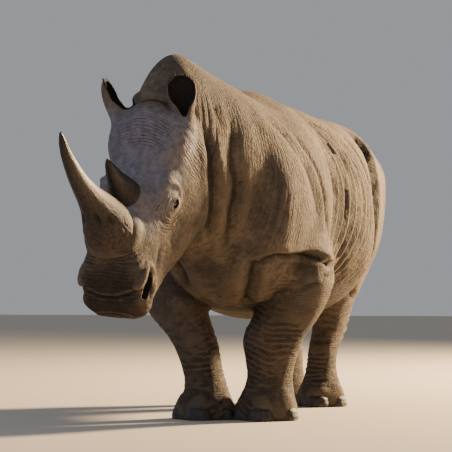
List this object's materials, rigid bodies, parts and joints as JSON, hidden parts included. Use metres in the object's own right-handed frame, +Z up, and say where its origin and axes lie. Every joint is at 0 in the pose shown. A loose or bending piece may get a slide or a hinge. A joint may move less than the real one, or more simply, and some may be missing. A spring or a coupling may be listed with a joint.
{
  "type": "white rhinoceros",
  "caption": "Life-size still model of a standing white rhinoceros, head lowered and turned a little to its right, with horns, ears, eyes, toenails and a hanging tufted tail.",
  "frame": {"origin": "on the floor, under the middle of the model's bounding box", "axes": "-Y is forward, towards the muzzle, +X is the animal's left, and +Z is up"},
  "size_m": [1.1752, 3.7038, 1.7524],
  "materials": {
    "rhino_skin": "dry, matte, finely cracked hide",
    "horn_keratin": "rubbed smooth at the tips, fibrous at the base",
    "nail_keratin": "matte, worn",
    "eye_cornea": "wet and glossy",
    "bristle": "coarse black hair"
  },
  "bodies": {
    "root": {"head": "rhino_skin", "neck": "rhino_skin", "trunk": "rhino_skin", "foreleg_left": "rhino_skin", "foreleg_right": "rhino_skin", "hindleg_left": "rhino_skin", "hindleg_right": "rhino_skin", "ear_left": "rhino_skin", "ear_right": "rhino_skin", "tail": "rhino_skin", "tail_tuft": "bristle", "horn_front": "horn_keratin", "horn_rear": "horn_keratin", "eye_left": "eye_cornea", "eye_right": "eye_cornea", "nail_foreleg_left_middle": "nail_keratin", "nail_foreleg_left_outer": "nail_keratin", "nail_foreleg_left_inner": "nail_keratin", "nail_foreleg_right_middle": "nail_keratin", "nail_foreleg_right_outer": "nail_keratin", "nail_foreleg_right_inner": "nail_keratin", "nail_hindleg_left_middle": "nail_keratin", "nail_hindleg_left_outer": "nail_keratin", "nail_hindleg_left_inner": "nail_keratin", "nail_hindleg_right_middle": "nail_keratin", "nail_hindleg_right_outer": "nail_keratin", "nail_hindleg_right_inner": "nail_keratin"}
  },
  "joints": []
}
